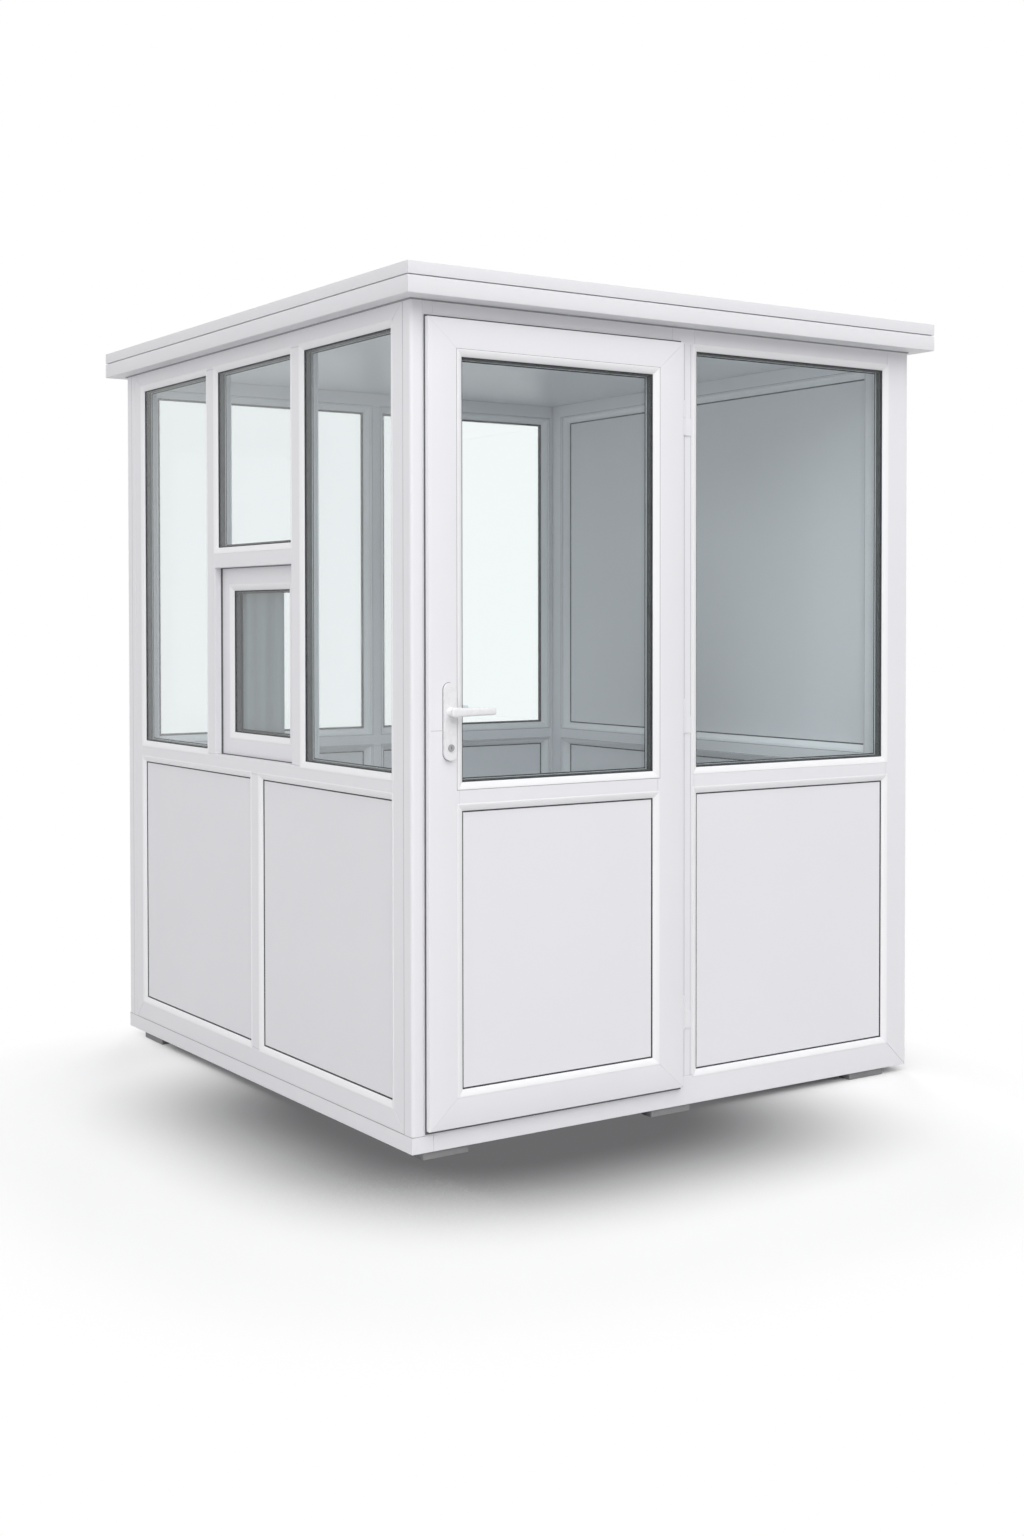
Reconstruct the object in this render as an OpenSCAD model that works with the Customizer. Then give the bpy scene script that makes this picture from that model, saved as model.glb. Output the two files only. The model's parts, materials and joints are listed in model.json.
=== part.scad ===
// Guard booth of white plastic profiles, with a hinged door and a service window.
// Millimetres, +Z up. The origin is on the ground under the middle of the booth.
// The door wall faces -Y and the service window wall faces -X.

/* [Booth] */
// Width across the door wall
booth_w = 1660; // [1600:10:1900]
// Depth along the service window wall
booth_d = 1750; // [1600:10:2000]
// Height of the walls from the underside of the base
wall_h = 2056; // [2040:1:2300]
// Depth of the frame profiles, from outside to inside
frame_depth = 60; // [58:1:70]

/* [Feet, base and floor] */
// Height of the support pads
foot_h = 20; // [10:1:40]
// Length of a support pad along its base rail
foot_l = 130; // [80:5:200]
// Width of a support pad across its base rail
foot_w = 44; // [30:1:58]
// Distance from the post to the nearest front pad
foot_inset = 36; // [5:1:100]
// Distance from the front's far end to the nearest front pad
foot_far_inset = 82; // [5:1:150]
// Distance from a back corner to the pad on each side
foot_side_inset = 103; // [5:1:200]
// How far the middle pad of the front is off the middle, towards the post
foot_mid_shift = 30; // [0:1:60]
// Height of the base rails
base_h = 42; // [32:1:60]
// Thickness of the floor panel
floor_t = 30; // [18:1:32]

/* [Corner posts] */
// Depth of the front post, seen on the service window wall
front_post_d = 38; // [30:1:60]
// Depth of the back posts, seen on the side walls
back_post_d = 60; // [60:1:80]
// Radius of the outer edge of a post
post_round = 9; // [4:1:14]
// Width of the fine groove on the face of a post
post_groove_w = 2.5; // [1.5:0.5:4]
// Depth of the fine groove on the face of a post
post_groove_d = 2; // [1:0.5:3]
// Distance from the post's outer edge to the groove
post_groove_u = 31; // [24:1:40]

/* [Wall profiles] */
// Face width of the stiles at the ends of a side wall
stile_w = 55; // [40:1:75]
// Face width of the mullions between lights
mullion_w = 54; // [40:1:75]
// Distance of the lower mullion of the service window wall from its middle, towards the front
lower_mullion_shift = 15; // [0:1:60]
// Face width of the slim stiles at the ends of the back wall
back_stile_w = 16; // [12:1:60]
// Face width of the mullion of the back wall
back_mullion_w = 40; // [34:1:75]
// Distance of that mullion from the middle, towards the closed wall
back_mullion_shift = 45; // [0:1:120]
// Height of the bottom rails
bottom_rail_h = 57; // [45:1:75]
// Height of the head rails
head_rail_h = 46; // [35:1:60]
// Height of the mid rails on the side and back walls
mid_rail_h = 41; // [35:1:60]
// Height of the underside of those mid rails
mid_rail_z = 861; // [700:1:880]

/* [Door wall] */
// Height of the sill under the door and window
sill_h = 77; // [60:1:95]
// Clear width of the doorway
door_w = 737; // [690:1:780]
// Height of the frame over the doorway
door_head_h = 65; // [45:1:90]
// Face width of the upright between door and window
front_mullion_w = 75; // [60:1:95]
// Face width of the upright at the far end of the window
front_stile_w = 80; // [76:1:110]
// Height of the underside of the mid rail under the front window
front_mid_z = 839; // [700:1:880]
// Height of the mid rail under the front window
front_mid_h = 45; // [35:1:60]

/* [Glazing] */
// Thickness of the double glazing and of the lower panels
glass_t = 24; // [20:1:26]
// Depth of the glazing behind the outer face
glass_recess = 9; // [7:0.5:14]
// Width of the outer beads
bead_w = 12; // [9:0.5:18]
// Width of the inner beads
inner_bead_w = 18; // [12:1:22]
// Rise of the inner beads from the glazing
inner_bead_rise = 20; // [14:1:22]
// Flat nose along the outer edge of a bead
bead_nose = 2; // [1:0.5:4]
// Thickness of a bead where it meets the glazing
bead_lip = 2; // [1:0.5:3]
// Setback of the outer beads from the face
bead_step = 1; // [0.5:0.5:2]

/* [Service window] */
// Height of the underside of the transom over the service sash
transom_z = 1438; // [1250:1:1700]
// Height of the transom
transom_h = 46; // [35:1:60]
// Face width of the service sash
sash_w = 54; // [45:1:70]
// Setback of the service sash from the outer face
sash_recess = 24; // [2:0.5:25]

/* [Door leaf] */
// How far the leaf overlaps the frame around the doorway
leaf_overlap = 23; // [16:1:26]
// Gap between the leaf and the sides of the doorway
leaf_clear = 7; // [5:0.5:8]
// How far the face of the leaf stands proud of the wall
leaf_proud = 20; // [16:1:24]
// Gap between the overlapping edge of the leaf and the wall
leaf_gap = 5; // [5:0.5:7]
// Depth of the leaf, from outside to inside
leaf_depth = 60; // [56:1:68]
// Face width of the leaf's stiles
leaf_stile_w = 86; // [76:1:110]
// Face height of the leaf's top and bottom rails
leaf_rail_h = 78; // [70:1:110]
// Height of the underside of the leaf's mid rail
leaf_mid_z = 836; // [700:1:880]
// Height of the leaf's mid rail
leaf_mid_h = 46; // [38:1:70]

/* [Door handle and lock] */
// Distance from the leaf's free edge to the spindle
handle_inset = 56; // [44:1:60]
// Height of the spindle above the base
handle_z = 1066; // [960:1:1150]
// Width of a backplate
plate_w = 34; // [26:1:40]
// Thickness of a backplate
plate_t = 10; // [6:0.5:11]
// How far a backplate reaches above the spindle
plate_rise = 71; // [50:1:90]
// How far a backplate reaches below the spindle
plate_drop = 117; // [105:1:140]
// Length of a lever from the spindle to its tip
lever_l = 112; // [95:1:130]
// Height of a lever's grip at the neck
lever_h = 21; // [16:1:24]
// Height of a lever's grip at its tip
lever_tip_h = 17; // [12:1:24]
// Thickness of a lever's grip
lever_t = 12; // [9:1:13]
// Radius of the neck of a lever
neck_r = 9; // [7:0.5:11]
// Gap between a backplate and the grip
neck_l = 18; // [12:1:18]
// Radius of the spindle through the leaf
spindle_r = 4; // [3:0.5:6]
// Distance from the spindle down to the key cylinder
key_drop = 86; // [70:1:92]
// Radius of the key cylinder's face
key_r = 8.5; // [7:0.5:10]
// How far the key cylinder stands out of its backplate
key_t = 3; // [2:0.5:5]

/* [Hinges] */
// Radius of a hinge barrel
hinge_r = 6; // [5:0.5:8]
// Height of a hinge
hinge_h = 90; // [70:5:120]
// Radius of a hinge pin
pin_r = 3; // [2.5:0.25:4]
// Width of a hinge plate on the frame
hinge_plate_w = 24; // [16:1:30]
// Thickness of the hinge plates
hinge_plate_t = 3; // [2:0.5:4]
// Gap between a barrel and the faces beside it
hinge_gap = 1; // [1:0.25:2]

/* [Roof] */
// Overhang of the roof over the side walls
roof_side = 45; // [30:1:120]
// Overhang of the roof over the front and back walls
roof_end = 62; // [62:1:120]
// Height of the lower fascia band
fascia_lower_h = 42; // [30:1:60]
// Height of the groove between the fascia bands
fascia_groove_h = 3; // [2:0.5:6]
// Height of the upper fascia band
fascia_upper_h = 30; // [20:1:50]

/* [Hidden] */
// Running clearance of pins and necks in their bores
run_clear = 0.4;
// How far a cut runs past the solid that it cuts
overrun = 1;
quarter_turn = 90;
$fn = 48;
// Heights of the hinges, as shares of the leaf's height
hinge_shares = [0.1, 0.5, 0.9];

// Ranges are pairs, [low, high]: u runs along a wall from the left as seen from outside
// the booth, z up from the underside of the base, and d inwards from the outer face.
post_w = frame_depth;
light_top = wall_h - head_rail_h;
frame_d = [0, frame_depth];
glass_d = [glass_recess, glass_recess + glass_t];

frame_z = [base_h, wall_h];
mid_z = [mid_rail_z, mid_rail_z + mid_rail_h];
lower_z = [base_h + bottom_rail_h, mid_z[0]];
upper_z = [mid_z[1], light_top];

left_end = [back_post_d, booth_d - front_post_d];
right_end = [frame_depth, booth_d - back_post_d];
back_end = [post_w, booth_w - post_w];

transom = [transom_z, transom_z + transom_h];
service_z = [mid_z[1], transom[0]];
over_service_z = [transom[1], light_top];

door_u = [post_w, post_w + door_w];
door_z = [sill_h, wall_h - door_head_h];
window_u = [door_u[1] + front_mullion_w, booth_w - front_stile_w];
front_mid = [front_mid_z, front_mid_z + front_mid_h];

leaf_u = [door_u[0] - leaf_overlap, door_u[1] + leaf_overlap];
leaf_z = [door_z[0] - leaf_overlap, door_z[1] + leaf_overlap];
body_u = [door_u[0] + leaf_clear, door_u[1] - leaf_clear];
body_z = [door_z[0] + leaf_clear, door_z[1] - leaf_clear];
leaf_d = [-leaf_proud, leaf_depth - leaf_proud];
overlap_d = [-leaf_proud, -leaf_gap];
inner_d = [-leaf_gap, leaf_depth - leaf_proud];
leaf_glass_d = [leaf_d[0] + glass_recess, leaf_d[0] + glass_recess + glass_t];
leaf_light_u = [leaf_u[0] + leaf_stile_w, leaf_u[1] - leaf_stile_w];
leaf_lower_z = [leaf_z[0] + leaf_rail_h, leaf_mid_z];
leaf_upper_z = [leaf_mid_z + leaf_mid_h, leaf_z[1] - leaf_rail_h];

handle_u = leaf_u[0] + handle_inset;
plate_z = [handle_z - plate_drop, handle_z + plate_rise];

hinge_u = leaf_u[1] + hinge_gap + hinge_r;
hinge_d = -hinge_gap - hinge_r;

roof_h = fascia_lower_h + fascia_groove_h + fascia_upper_h;

pvc = [0.93, 0.93, 0.95];
pane = [0.72, 0.8, 0.8, 0.5];

function inset(r, by) = [r[0] + by, r[1] - by];
function size(r) = r[1] - r[0];
function middle(r) = (r[0] + r[1]) / 2;

// Equal columns along a range, with a bar of the given width between neighbours
function columns(r, count, gap) =
    let (w = (size(r) - (count - 1) * gap) / count)
    [for (i = [0 : count - 1]) [r[0] + i * (w + gap), r[0] + i * (w + gap) + w]];

// The bars between neighbouring columns
function between(cols) =
    [for (i = [1 : len(cols) - 1]) [cols[i - 1][1], cols[i][0]]];

left_span = inset(left_end, stile_w);
left_cols = columns(left_span, 3, mullion_w);
lower_mullion_u = middle(left_span) + lower_mullion_shift;
left_lower_cols = [[left_span[0], lower_mullion_u - mullion_w / 2],
                   [lower_mullion_u + mullion_w / 2, left_span[1]]];
back_span = inset(back_end, back_stile_w);
back_mullion_u = booth_w / 2 - back_mullion_shift;
back_cols = [[back_span[0], back_mullion_u - back_mullion_w / 2],
             [back_mullion_u + back_mullion_w / 2, back_span[1]]];
right_light_u = inset(right_end, stile_w);

// A light is [u range, z range]
left_lights = [[left_cols[0], upper_z], [left_cols[1], over_service_z], [left_cols[2], upper_z]];
left_panels = [for (c = left_lower_cols) [c, lower_z]];
service_light = [inset(left_cols[1], sash_w), inset(service_z, sash_w)];
back_lights = [for (c = back_cols) [c, upper_z]];
back_panels = [for (c = back_cols) [c, lower_z]];
right_lights = [[right_light_u, lower_z], [right_light_u, upper_z]];
front_light = [window_u, [front_mid[1], light_top]];
front_panel = [window_u, [sill_h, front_mid[0]]];
door_light = [leaf_light_u, leaf_upper_z];
door_panel = [leaf_light_u, leaf_lower_z];

// Places what is drawn in wall terms on each side of the booth
module on_front() {
    translate([-booth_w / 2, -booth_d / 2, foot_h])
        children();
}

module on_left() {
    translate([-booth_w / 2, booth_d / 2, foot_h])
        rotate([0, 0, -quarter_turn])
            children();
}

module on_right() {
    translate([booth_w / 2, -booth_d / 2, foot_h])
        rotate([0, 0, quarter_turn])
            children();
}

module on_back() {
    translate([booth_w / 2, booth_d / 2, foot_h])
        rotate([0, 0, 2 * quarter_turn])
            children();
}

// A straight bar or sheet between three ranges
module bar(u, z, d = frame_d) {
    translate([u[0], d[0], z[0]])
        cube([size(u), size(d), size(z)]);
}

module pane_in(light, d = glass_d) {
    bar(light[0], light[1], d);
}

// A flat bar of any outline, given as [u, z] points
module cut_bar(outline, d = frame_d) {
    translate([0, d[1], 0])
        rotate([quarter_turn, 0, 0])
            linear_extrude(size(d))
                polygon(outline);
}

// The stiles of a frame, mitred from its outer corners to the corners of its light
module mitred_stiles(u, z, light_u, light_z, d = frame_d) {
    for (side = [0, 1])
        cut_bar([[u[side], z[0]], [light_u[side], light_z[0]],
                 [light_u[side], light_z[1]], [u[side], z[1]]], d);
}

// The top and bottom rails of the same frame
module mitred_rails(u, z, light_u, light_z, d = frame_d) {
    for (end = [0, 1])
        cut_bar([[u[0], z[end]], [light_u[0], light_z[end]],
                 [light_u[1], light_z[end]], [u[1], z[end]]], d);
}

// A round bar that runs inwards through a wall
module round_bar(u, z, d, r) {
    translate([u, d[0], z])
        rotate([-quarter_turn, 0, 0])
            cylinder(r = r, h = size(d));
}

// Outline of the hole through a ring of beads, across a range, as [across, depth]
function bead_hole(r, glass, top, width) =
    let (way = sign(top - glass), lip = glass + way * bead_lip, past = way * overrun)
    [[r[0] + bead_nose, top + past], [r[0] + bead_nose, top],
     [r[0] + width, lip], [r[0] + width, glass - past],
     [r[1] - width, glass - past], [r[1] - width, lip],
     [r[1] - bead_nose, top], [r[1] - bead_nose, top + past]];

// A ring of sloped beads with mitred corners, from the glazing out to the depth top
module bead_ring(light, glass, top, width) {
    u = light[0];
    z = light[1];
    difference() {
        bar(u, z, [min(glass, top), max(glass, top)]);
        intersection() {
            translate([0, 0, z[0] - overrun])
                linear_extrude(size(z) + 2 * overrun)
                    polygon(bead_hole(u, glass, top, width));
            translate([u[0] - overrun, 0, 0])
                rotate([quarter_turn, 0, quarter_turn])
                    linear_extrude(size(u) + 2 * overrun)
                        polygon([for (p = bead_hole(z, glass, top, width)) [p[1], p[0]]]);
        }
    }
}

// The outer and inner beads that hold one pane or panel
module bead_pair(light, d = glass_d, face = 0, rise = inner_bead_rise) {
    bead_ring(light, d[0], face + bead_step, bead_w);
    bead_ring(light, d[1], d[1] + rise, inner_bead_w);
}

module wall_stiles(ends, width = stile_w) {
    mitred_stiles(ends, frame_z, inset(ends, width), [lower_z[0], light_top]);
}

module wall_rails(ends, width = stile_w) {
    mitred_rails(ends, frame_z, inset(ends, width), [lower_z[0], light_top]);
    bar(inset(ends, width), mid_z);
}

module foot(along, across) {
    bar(along, [-foot_h, 0], across);
}

module support_feet() {
    across = [(frame_depth - foot_w) / 2, (frame_depth + foot_w) / 2];
    mid_start = (booth_w - foot_l) / 2;
    front_starts = [foot_inset, mid_start - foot_mid_shift, booth_w - foot_far_inset - foot_l];
    right_start = booth_d - foot_side_inset - foot_l;
    color("dimgray") {
        on_front()
            for (s = front_starts)
                foot([s, s + foot_l], across);
        on_left() foot([foot_side_inset, foot_side_inset + foot_l], across);
        on_right() foot([right_start, right_start + foot_l], across);
        on_back() foot([mid_start, mid_start + foot_l], across);
    }
}

module base_side_rails() {
    color(pvc) {
        on_left() bar([0, booth_d], [0, base_h]);
        on_right() bar([frame_depth, booth_d], [0, base_h]);
    }
}

module base_back_rail() {
    color(pvc)
        on_back() bar(back_end, [0, base_h]);
}

module floor_panel() {
    color("lightgray")
        on_front()
            bar(back_end, [base_h - floor_t, base_h], [frame_depth, booth_d - frame_depth]);
}

// Section of a post at a left-hand corner, with its outer edge at the origin
module post_section(depth) {
    difference() {
        union() {
            translate([post_round, 0])
                square([post_w - post_round, depth]);
            translate([0, post_round])
                square([post_w, depth - post_round]);
            translate([post_round, post_round])
                circle(r = post_round);
        }
        translate([post_groove_u, -overrun])
            square([post_groove_w, post_groove_d + overrun]);
    }
}

module post(depth) {
    translate([0, 0, base_h])
        linear_extrude(size(frame_z))
            post_section(depth);
}

module front_corner_post() {
    color(pvc)
        on_front() post(front_post_d);
}

module back_corner_posts() {
    color(pvc)
        on_back()
            for (side = [0, 1])
                translate([side * booth_w, 0, 0])
                    mirror([side, 0, 0])
                        post(back_post_d);
}

// The sill is mitred to the end upright at the corner away from the door
module front_sill() {
    color(pvc)
        on_front()
            cut_bar([[post_w, 0], [booth_w, 0], [window_u[1], sill_h], [post_w, sill_h]]);
}

module front_rails() {
    color(pvc)
        on_front() {
            bar(door_u, [door_z[1], wall_h]);
            bar(window_u, [light_top, wall_h]);
            bar(window_u, front_mid);
        }
}

module front_uprights() {
    color(pvc)
        on_front() {
            bar([door_u[1], window_u[0]], [sill_h, wall_h]);
            cut_bar([[booth_w, 0], [booth_w, wall_h], [window_u[1], wall_h], [window_u[1], sill_h]]);
        }
}

module front_window_glass() {
    color(pane)
        on_front() pane_in(front_light);
}

module front_lower_panel() {
    color(pvc)
        on_front() pane_in(front_panel);
}

module front_beads() {
    color(pvc)
        on_front()
            for (light = [front_light, front_panel])
                bead_pair(light);
}

module left_rails() {
    color(pvc)
        on_left() {
            wall_rails(left_end);
            bar(left_cols[1], transom);
        }
}

module left_uprights() {
    color(pvc)
        on_left() {
            wall_stiles(left_end);
            for (u = between(left_cols))
                bar(u, upper_z);
            for (u = between(left_lower_cols))
                bar(u, lower_z);
        }
}

module left_window_glass() {
    color(pane)
        on_left()
            for (light = left_lights)
                pane_in(light);
}

module left_lower_panels() {
    color(pvc)
        on_left()
            for (light = left_panels)
                pane_in(light);
}

module left_beads() {
    color(pvc)
        on_left() {
            for (light = concat(left_lights, left_panels))
                bead_pair(light);
            bead_pair(service_light, service_d, sash_recess, sash_d[1] - service_d[1]);
        }
}

service_d = [sash_recess + glass_recess, sash_recess + glass_recess + glass_t];
// The sash ends flush with the frame inside, or past it where its inner beads need the room
sash_d = [sash_recess, max(frame_depth, service_d[1] + bead_lip + overrun)];

module service_sash() {
    color(pvc)
        on_left()
            difference() {
                bar(left_cols[1], service_z, sash_d);
                bar(service_light[0], service_light[1], [0, sash_d[1] + overrun]);
            }
}

module service_glass() {
    color(pane)
        on_left() pane_in(service_light, service_d);
}

module back_rails() {
    color(pvc)
        on_back() wall_rails(back_end, back_stile_w);
}

module back_uprights() {
    color(pvc)
        on_back() {
            wall_stiles(back_end, back_stile_w);
            for (u = between(back_cols)) {
                bar(u, upper_z);
                bar(u, lower_z);
            }
        }
}

module back_window_glass() {
    color(pane)
        on_back()
            for (light = back_lights)
                pane_in(light);
}

module back_lower_panels() {
    color(pvc)
        on_back()
            for (light = back_panels)
                pane_in(light);
}

module back_beads() {
    color(pvc)
        on_back()
            for (light = concat(back_lights, back_panels))
                bead_pair(light);
}

module right_rails() {
    color(pvc)
        on_right() wall_rails(right_end);
}

module right_uprights() {
    color(pvc)
        on_right() wall_stiles(right_end);
}

module right_panels() {
    color(pvc)
        on_right()
            for (light = right_lights)
                pane_in(light);
}

module right_beads() {
    color(pvc)
        on_right()
            for (light = right_lights)
                bead_pair(light);
}

module roof_panel() {
    color(pvc)
        on_front()
            bar([0, booth_w], [wall_h, wall_h + roof_h], [0, booth_d]);
}

module fascia(z) {
    difference() {
        bar([-roof_side, booth_w + roof_side], z, [-roof_end, booth_d + roof_end]);
        bar([0, booth_w], [z[0] - overrun, z[1] + overrun], [0, booth_d]);
    }
}

module roof_fascia_lower() {
    color(pvc)
        on_front() fascia([wall_h, wall_h + fascia_lower_h]);
}

module roof_fascia_upper() {
    color(pvc)
        on_front() fascia([wall_h + roof_h - fascia_upper_h, wall_h + roof_h]);
}

// Calls its children once for each hinge, with the hinge's foot on the turning axis
module at_hinges() {
    on_front()
        for (share = hinge_shares)
            translate([hinge_u, hinge_d, leaf_z[0] + share * size(leaf_z) - hinge_h / 2])
                children();
}

// The halves of a barrel, with the running gap between them
lower_barrel = [0, hinge_h / 2 - run_clear];
upper_barrel = [hinge_h / 2 + run_clear, hinge_h];

module hinge_frame_halves() {
    color("white")
        at_hinges() {
            cylinder(r = hinge_r, h = size(lower_barrel));
            cylinder(r = pin_r, h = hinge_h);
            bar([0, hinge_r + hinge_plate_w], lower_barrel, [-hinge_d - hinge_plate_t, -hinge_d]);
        }
}

module hinge_leaf_halves() {
    edge_u = leaf_u[1] - hinge_u;
    color("white")
        at_hinges()
            difference() {
                union() {
                    translate([0, 0, upper_barrel[0]])
                        cylinder(r = hinge_r, h = size(upper_barrel));
                    bar([edge_u, edge_u + hinge_plate_t], upper_barrel,
                        [overlap_d[0] - hinge_d + bead_step, overlap_d[1] - hinge_d]);
                }
                translate([0, 0, upper_barrel[0] - overrun])
                    cylinder(r = pin_r + run_clear, h = size(upper_barrel) + 2 * overrun);
            }
}

leaf_inner_z = [leaf_lower_z[0], leaf_upper_z[1]];

module spindle_bore() {
    round_bar(handle_u, handle_z, [leaf_d[0] - overrun, leaf_d[1] + overrun], spindle_r + run_clear);
}

// The outer frame of the leaf overlaps the wall, and the inner one stays inside the doorway
module door_outer_stiles() {
    color(pvc)
        on_front()
            difference() {
                mitred_stiles(leaf_u, leaf_z, leaf_light_u, leaf_inner_z, overlap_d);
                spindle_bore();
            }
}

module door_outer_rails() {
    color(pvc)
        on_front() mitred_rails(leaf_u, leaf_z, leaf_light_u, leaf_inner_z, overlap_d);
}

module door_inner_stiles() {
    color(pvc)
        on_front()
            difference() {
                mitred_stiles(body_u, body_z, leaf_light_u, leaf_inner_z, inner_d);
                spindle_bore();
            }
}

module door_inner_rails() {
    color(pvc)
        on_front() mitred_rails(body_u, body_z, leaf_light_u, leaf_inner_z, inner_d);
}

module door_mid_rail() {
    color(pvc)
        on_front() bar(leaf_light_u, [leaf_lower_z[1], leaf_upper_z[0]], leaf_d);
}

module door_glass() {
    color(pane)
        on_front() pane_in(door_light, leaf_glass_d);
}

module door_lower_panel() {
    color(pvc)
        on_front() pane_in(door_panel, leaf_glass_d);
}

module door_beads() {
    color(pvc)
        on_front()
            for (light = [door_light, door_panel])
                bead_pair(light, leaf_glass_d, leaf_d[0]);
}

// A long plate with round ends, from the depth d inwards
module backplate(d) {
    r = plate_w / 2;
    difference() {
        union() {
            bar([handle_u - r, handle_u + r], inset(plate_z, r), d);
            for (z = inset(plate_z, r))
                round_bar(handle_u, z, d, r);
        }
        round_bar(handle_u, handle_z, [d[0] - overrun, d[1] + overrun], neck_r + run_clear);
    }
}

outer_plate_d = [leaf_d[0] - plate_t, leaf_d[0]];
inner_plate_d = [leaf_d[1], leaf_d[1] + plate_t];

module handle_backplates() {
    color("white")
        on_front() {
            backplate(outer_plate_d);
            backplate(inner_plate_d);
        }
}

module key_cylinders() {
    color("silver")
        on_front() {
            round_bar(handle_u, handle_z - key_drop, [outer_plate_d[0] - key_t, outer_plate_d[0]], key_r);
            round_bar(handle_u, handle_z - key_drop, [inner_plate_d[1], inner_plate_d[1] + key_t], key_r);
        }
}

// A grip that is round at its neck and narrows to a square tip, from the depth d inwards
module lever_grip(d) {
    r = lever_h / 2;
    tip_r = lever_tip_h / 2;
    tip_u = handle_u + lever_l;
    cut_bar([[handle_u, handle_z - r], [tip_u, handle_z - tip_r],
             [tip_u, handle_z + tip_r], [handle_u, handle_z + r]], d);
    round_bar(handle_u, handle_z, d, r);
}

module lever_handle() {
    outer_grip_d = [outer_plate_d[0] - neck_l - lever_t, outer_plate_d[0] - neck_l];
    inner_grip_d = [inner_plate_d[1] + neck_l, inner_plate_d[1] + neck_l + lever_t];
    color("white")
        on_front() {
            lever_grip(outer_grip_d);
            lever_grip(inner_grip_d);
            round_bar(handle_u, handle_z, [outer_grip_d[0], outer_plate_d[1] - run_clear], neck_r);
            round_bar(handle_u, handle_z, [inner_plate_d[0] + run_clear, inner_grip_d[1]], neck_r);
            round_bar(handle_u, handle_z, [outer_grip_d[0], inner_grip_d[1]], spindle_r);
        }
}

support_feet();
base_side_rails();
base_back_rail();
floor_panel();
front_corner_post();
back_corner_posts();
front_sill();
front_rails();
front_uprights();
front_window_glass();
front_lower_panel();
front_beads();
left_rails();
left_uprights();
left_window_glass();
left_lower_panels();
left_beads();
service_sash();
service_glass();
back_rails();
back_uprights();
back_window_glass();
back_lower_panels();
back_beads();
right_rails();
right_uprights();
right_panels();
right_beads();
roof_panel();
roof_fascia_lower();
roof_fascia_upper();
hinge_frame_halves();
door_outer_stiles();
door_outer_rails();
door_inner_stiles();
door_inner_rails();
door_mid_rail();
door_glass();
door_lower_panel();
door_beads();
handle_backplates();
key_cylinders();
hinge_leaf_halves();
lever_handle();
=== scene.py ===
# %% [markdown]
# # A guard booth of white window profiles
#
# The booth is four framed walls of plastic window profiles, a hinged door, a small service window
# and a flat roof with a two-band fascia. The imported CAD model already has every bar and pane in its
# place, so this lesson dresses it. It softens the edges that real extrusions have, builds the
# double glazing from its layers, and gives each surface a finish made of shader nodes.

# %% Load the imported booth
import json
import math

import bmesh
import bpy
from mathutils import Matrix, Vector

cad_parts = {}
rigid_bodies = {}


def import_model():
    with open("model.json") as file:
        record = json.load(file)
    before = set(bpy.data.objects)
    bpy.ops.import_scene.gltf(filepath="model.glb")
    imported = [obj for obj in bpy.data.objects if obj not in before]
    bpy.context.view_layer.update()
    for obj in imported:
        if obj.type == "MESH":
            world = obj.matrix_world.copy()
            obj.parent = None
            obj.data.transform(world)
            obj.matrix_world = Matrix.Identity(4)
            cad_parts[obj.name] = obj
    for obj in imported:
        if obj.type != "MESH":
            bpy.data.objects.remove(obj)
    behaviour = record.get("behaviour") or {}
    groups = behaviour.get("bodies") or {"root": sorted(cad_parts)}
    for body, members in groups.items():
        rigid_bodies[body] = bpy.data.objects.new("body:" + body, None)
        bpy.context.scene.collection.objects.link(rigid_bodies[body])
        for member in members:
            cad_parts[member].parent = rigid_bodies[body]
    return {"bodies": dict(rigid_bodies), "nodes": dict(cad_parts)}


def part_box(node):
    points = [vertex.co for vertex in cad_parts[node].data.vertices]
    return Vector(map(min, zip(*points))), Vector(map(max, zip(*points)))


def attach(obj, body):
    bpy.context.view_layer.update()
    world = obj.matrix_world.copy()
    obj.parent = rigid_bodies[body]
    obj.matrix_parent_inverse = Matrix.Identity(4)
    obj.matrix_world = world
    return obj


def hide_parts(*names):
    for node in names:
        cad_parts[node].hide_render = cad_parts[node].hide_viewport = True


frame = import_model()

nodes = frame["nodes"]
ours = set(nodes.values()) | set(frame["bodies"].values())
for starter in [obj for obj in bpy.data.objects if obj not in ours]:
    bpy.data.objects.remove(starter)
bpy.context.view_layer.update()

# %% [markdown]
# ## The camera
#
# The photograph was taken from about eye height, a little to the left of the near corner. Such a
# view can be found by trial, but three vanishing directions and a few known corners give it exactly:
# the place, the heading, the tilt and the focal length in pixels. The picture's optical axis lies
# above its middle, which a camera shift reproduces without bending the upright lines. The Standard
# view transform shows a colour about as it is written.

# %% Camera
MM = 0.001
PHOTO_TALL = 1536
SENSOR_MM = 36
FOCAL_PX = 1867.7
AXIS_ROW = 659.4
CAMERA_AT = Vector((-3.1176, -4.7159, 1.308))
HEADING = math.radians(33.865)
TILT = math.radians(-1.211)
LEAN = math.radians(-0.058)
FAR_CLIP = 200

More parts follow.
